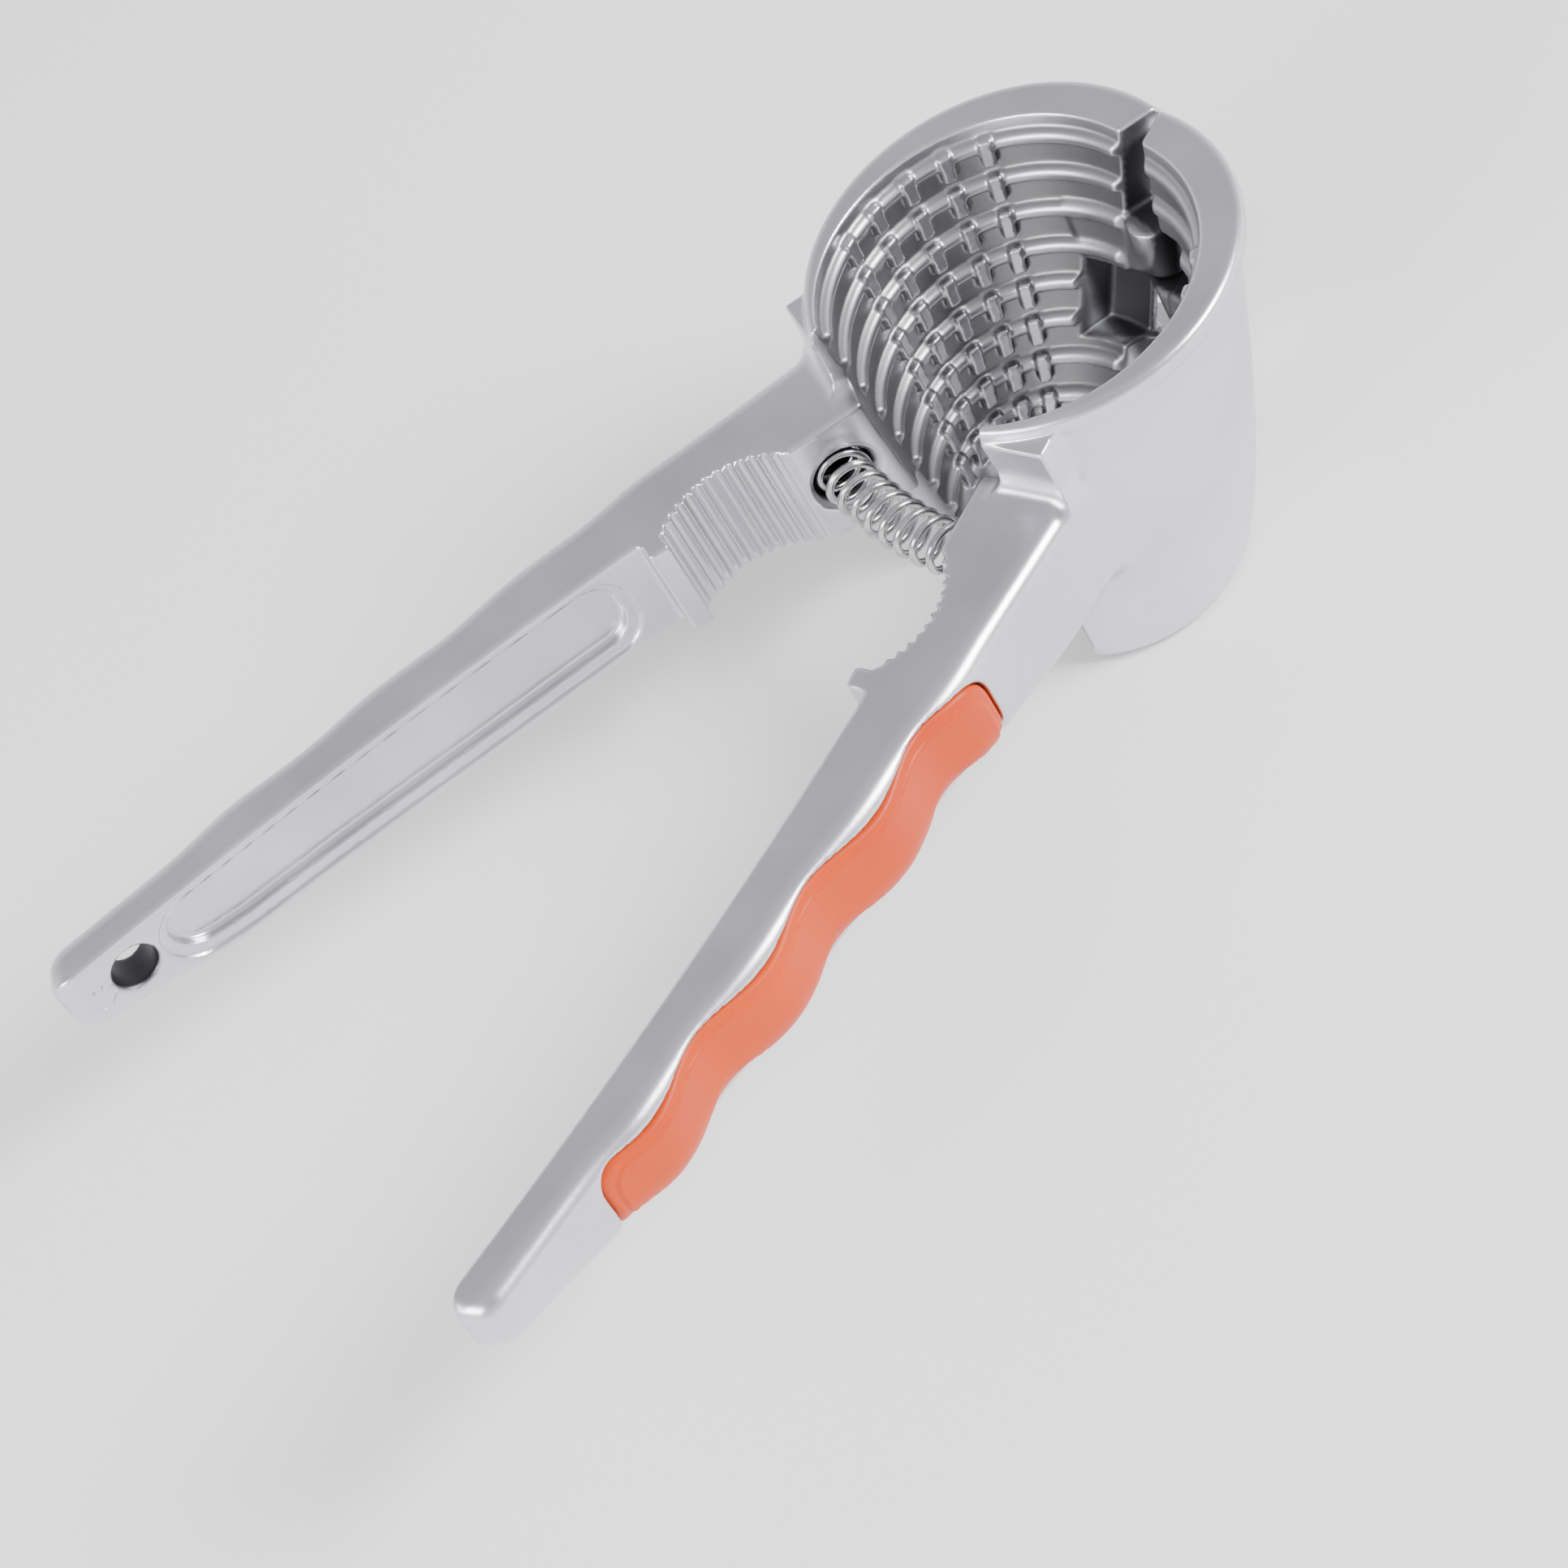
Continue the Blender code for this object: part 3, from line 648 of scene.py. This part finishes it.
def bump_node(tree, source, strength, distance, before=None):
    bump = tree.nodes.new("ShaderNodeBump")
    bump.inputs["Strength"].default_value = strength
    bump.inputs["Distance"].default_value = distance
    tree.links.new(source, bump.inputs["Height"])
    if before is not None:
        tree.links.new(before.outputs["Normal"], bump.inputs["Normal"])
    return bump


def plated_metal():
    """Satin plating over a die casting: a soft mottle, a fine grain, and painted shade inside the cup, the
    hinge gaps, the spring pocket and the hanging hole, where it is also rougher.
    """
    material, tree, shader = new_material("satin_plating", 1.0, 0.3)
    mottle = noise_node(tree, 60.0, 6.0)
    colour = ramp_node(tree, mottle.outputs["Fac"],
                       [(0.3, (0.60, 0.595, 0.645)), (0.7, (0.70, 0.695, 0.745))])
    shade = tree.nodes.new("ShaderNodeAttribute")
    shade.attribute_name = "shade"
    # painted shade: multiplies the plating colour down to 0.40 inside the cup and to 0.12 in the hinge
    # gaps, pocket and hole
    painted_shade_ramp = ramp_node(tree, shade.outputs["Fac"], [(0.0, (1.0, 1.0, 1.0)), (0.6, (0.40, 0.40, 0.38)),
                                                  (1.0, (0.12, 0.12, 0.12))])
    mix = tree.nodes.new("ShaderNodeMix")
    mix.data_type = "RGBA"
    mix.blend_type = "MULTIPLY"
    mix.inputs["Factor"].default_value = 1.0
    tree.links.new(colour.outputs["Color"], mix.inputs["A"])
    tree.links.new(painted_shade_ramp.outputs["Color"], mix.inputs["B"])
    tree.links.new(mix.outputs["Result"], shader.inputs["Base Color"])
    smooth = tree.nodes.new("ShaderNodeMapRange")
    smooth.inputs["To Min"].default_value = 0.22
    smooth.inputs["To Max"].default_value = 0.36
    tree.links.new(mottle.outputs["Fac"], smooth.inputs["Value"])
    rough = tree.nodes.new("ShaderNodeMath")
    rough.operation = "MULTIPLY_ADD"
    rough.inputs[1].default_value = 0.18
    tree.links.new(shade.outputs["Fac"], rough.inputs[0])
    tree.links.new(smooth.outputs["Result"], rough.inputs[2])
    tree.links.new(rough.outputs["Value"], shader.inputs["Roughness"])
    swell = noise_node(tree, 90.0, 3.0)
    grain = noise_node(tree, 1400.0, 2.0)
    first = bump_node(tree, swell.outputs["Fac"], 0.12, 0.0006)
    second = bump_node(tree, grain.outputs["Fac"], 0.10, 0.00012, first)
    tree.links.new(second.outputs["Normal"], shader.inputs["Normal"])
    return material


def orange_plastic():
    """Moulded plastic with a soft sheen, slightly paler where it is handled."""
    material, tree, shader = new_material("orange_plastic", 0.0, 0.4)
    shader.inputs["Specular IOR Level"].default_value = 0.3
    cloud = noise_node(tree, 45.0, 4.0)
    colour = ramp_node(tree, cloud.outputs["Fac"],
                       [(0.3, (0.56, 0.046, 0.0003)), (0.72, (0.64, 0.062, 0.001))])
    tree.links.new(colour.outputs["Color"], shader.inputs["Base Color"])
    smooth = tree.nodes.new("ShaderNodeMapRange")
    smooth.inputs["To Min"].default_value = 0.34
    smooth.inputs["To Max"].default_value = 0.5
    tree.links.new(cloud.outputs["Fac"], smooth.inputs["Value"])
    tree.links.new(smooth.outputs["Result"], shader.inputs["Roughness"])
    grain = noise_node(tree, 1800.0, 2.0)
    bump = bump_node(tree, grain.outputs["Fac"], 0.12, 0.0001)
    tree.links.new(bump.outputs["Normal"], shader.inputs["Normal"])
    return material


def bright_steel(name, low, high):
    """Drawn steel: bright, with fine variation in its polish."""
    material, tree, shader = new_material(name, 1.0, 0.2)
    streak = noise_node(tree, 700.0, 5.0)
    colour = ramp_node(tree, streak.outputs["Fac"],
                       [(0.3, (low, low, low * 1.01)), (0.7, (high, high, high))])
    tree.links.new(colour.outputs["Color"], shader.inputs["Base Color"])
    smooth = tree.nodes.new("ShaderNodeMapRange")
    smooth.inputs["To Min"].default_value = 0.12
    smooth.inputs["To Max"].default_value = 0.26
    tree.links.new(streak.outputs["Fac"], smooth.inputs["Value"])
    tree.links.new(smooth.outputs["Result"], shader.inputs["Roughness"])
    bump = bump_node(tree, streak.outputs["Fac"], 0.08, 0.00008)
    tree.links.new(bump.outputs["Normal"], shader.inputs["Normal"])
    return material


def area_light(name, place, aim, size, power):
    """A soft rectangular light that faces the aim."""
    light = bpy.data.lights.new(name, "AREA")
    light.shape = "RECTANGLE"
    light.size = size[0]
    light.size_y = size[1]
    light.energy = power
    item = bpy.data.objects.new(name, light)
    bpy.context.collection.objects.link(item)
    item.location = place
    item.rotation_mode = "QUATERNION"
    item.rotation_quaternion = (Vector(aim) - Vector(place)).to_track_quat("-Z", "Y")
    return item


def studio():
    """A pale floor, a soft sky and two large lights."""
    world = bpy.data.worlds.new("studio")
    bpy.context.scene.world = world
    world.use_nodes = True
    tree = world.node_tree
    place = tree.nodes.new("ShaderNodeTexCoord")
    split = tree.nodes.new("ShaderNodeSeparateXYZ")
    tree.links.new(place.outputs["Generated"], split.inputs["Vector"])
    sky = ramp_node(tree, split.outputs["Z"], [(0.0, (1.0, 1.0, 1.0)), (0.40, (0.85, 0.85, 0.88)),
                                               (0.66, (0.45, 0.45, 0.47)), (0.95, (0.60, 0.60, 0.63))])
    background = tree.nodes["Background"]
    tree.links.new(sky.outputs["Color"], background.inputs["Color"])
    background.inputs["Strength"].default_value = 1.35
    area_light("key", (0.62, 0.66, 0.68), (0.0, 0.0, 0.02), (0.45, 0.45), 20.0)
    area_light("fill", (0.1, -0.9, 0.5), (0.0, 0.0, 0.02), (0.7, 0.35), 10.0)
    mesh = bpy.data.meshes.new("floor")
    mesh.from_pydata([(-3, -3, 0), (3, -3, 0), (3, 3, 0), (-3, 3, 0)], [], [(0, 1, 2, 3)])
    floor = bpy.data.objects.new("floor", mesh)
    bpy.context.collection.objects.link(floor)
    floor.location.z = -0.0004
    material, tree, shader = new_material("floor_card", 0.0, 0.9)
    cloud = noise_node(tree, 6.0, 2.0)
    colour = ramp_node(tree, cloud.outputs["Fac"], [(0.3, (0.95, 0.95, 0.95)), (0.7, (0.97, 0.97, 0.97))])
    tree.links.new(colour.outputs["Color"], shader.inputs["Base Color"])
    mesh.materials.append(material)


def camera():
    """A long lens above the right-hand side, turned so that the cup is at the top."""
    azimuth = math.radians(72.59)
    elevation = math.radians(47.57)
    roll = math.radians(-33.2)
    target = Vector((-217.35, 5.05 + PIN_WORLD_Y + PIN_INSET - CORNER_Y, -240.55))
    back = Vector((math.sin(azimuth) * math.cos(elevation), -math.cos(azimuth) * math.cos(elevation),
                   math.sin(elevation)))
    level = Vector((math.cos(azimuth), math.sin(azimuth), 0.0))
    rise = back.cross(level)
    right = level * math.cos(roll) + rise * math.sin(roll)
    up = rise * math.cos(roll) - level * math.sin(roll)
    place = (target + back * 1086.55) * MM
    data = bpy.data.cameras.new("camera")
    data.sensor_width = 36.0
    data.lens = 136.77
    data.clip_start = 0.01
    data.clip_end = 20.0
    item = bpy.data.objects.new("camera", data)
    bpy.context.collection.objects.link(item)
    rows = [(right[i], up[i], back[i], place[i]) for i in range(3)]
    item.matrix_world = Matrix(rows + [(0.0, 0.0, 0.0, 1.0)])
    bpy.context.scene.camera = item


def add_half(side, word, metal, plastic):
    """The casting and the grip of one half, meshed in boxes that just hold them."""
    low = (-15.5, -151.0, -1.0)
    high = (23.0, 27.5, 47.0)
    # the casting carries painted shade as a vertex attribute, darker in its hollows
    body = half_piece(word + "_half_casting", lambda x, y, z: casting(x, y, z, side), low, high,
                      side, lambda x, y, z: painted_shade_and_roughness(x, y, z, side))
    body.data.materials.append(metal)
    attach(body, word + "_half")
    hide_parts(word + "_casting")
    pad = half_piece(word + "_finger_grip", grip, (-8.0, -130.0, 15.0), (14.0, -49.0, 36.0), side,
                     lambda x, y, z: 0.0 * x)
    pad.data.materials.append(plastic)
    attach(pad, word + "_half")
    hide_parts(word + "_grip")


def add_pin(steel):
    """The rivet from its rounded head below the lower knuckle up into the upper one."""
    foot = LOWER_KNUCKLE[0] - KNUCKLE_GAP
    top = UPPER_KNUCKLE[1] - 1.9
    head = PIN_HEAD_RADIUS
    profile = [(0.02, foot - 1.5), (head - 0.7, foot - 1.5), (head - 0.2, foot - 1.25), (head, foot - 0.9),
               (head, foot - 0.2), (head - 0.15, foot), (PIN_RADIUS, foot), (PIN_RADIUS, top - 0.4),
               (PIN_RADIUS - 0.3, top), (0.02, top)]
    pin = turned_object("hinge_rivet", profile, (0.0, PIN_WORLD_Y))
    pin.data.materials.append(steel)
    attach(pin, "left_half")
    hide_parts("hinge_pin")


def add_spring(steel):
    """The return spring, attached to the left half with a mesh of its own."""
    coil = spring_object()
    coil.data.materials.append(steel)
    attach(coil, "left_half")
    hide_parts("spring")
    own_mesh(coil)


def build():
    metal = plated_metal()
    plastic = orange_plastic()
    wire = bright_steel("spring_wire", 0.42, 0.62)
    pin_steel = bright_steel("pin_steel", 0.55, 0.70)
    for side, word in ((1, "right"), (-1, "left")):
        add_half(side, word, metal, plastic)
    add_pin(pin_steel)
    add_spring(wire)


build()
studio()
camera()
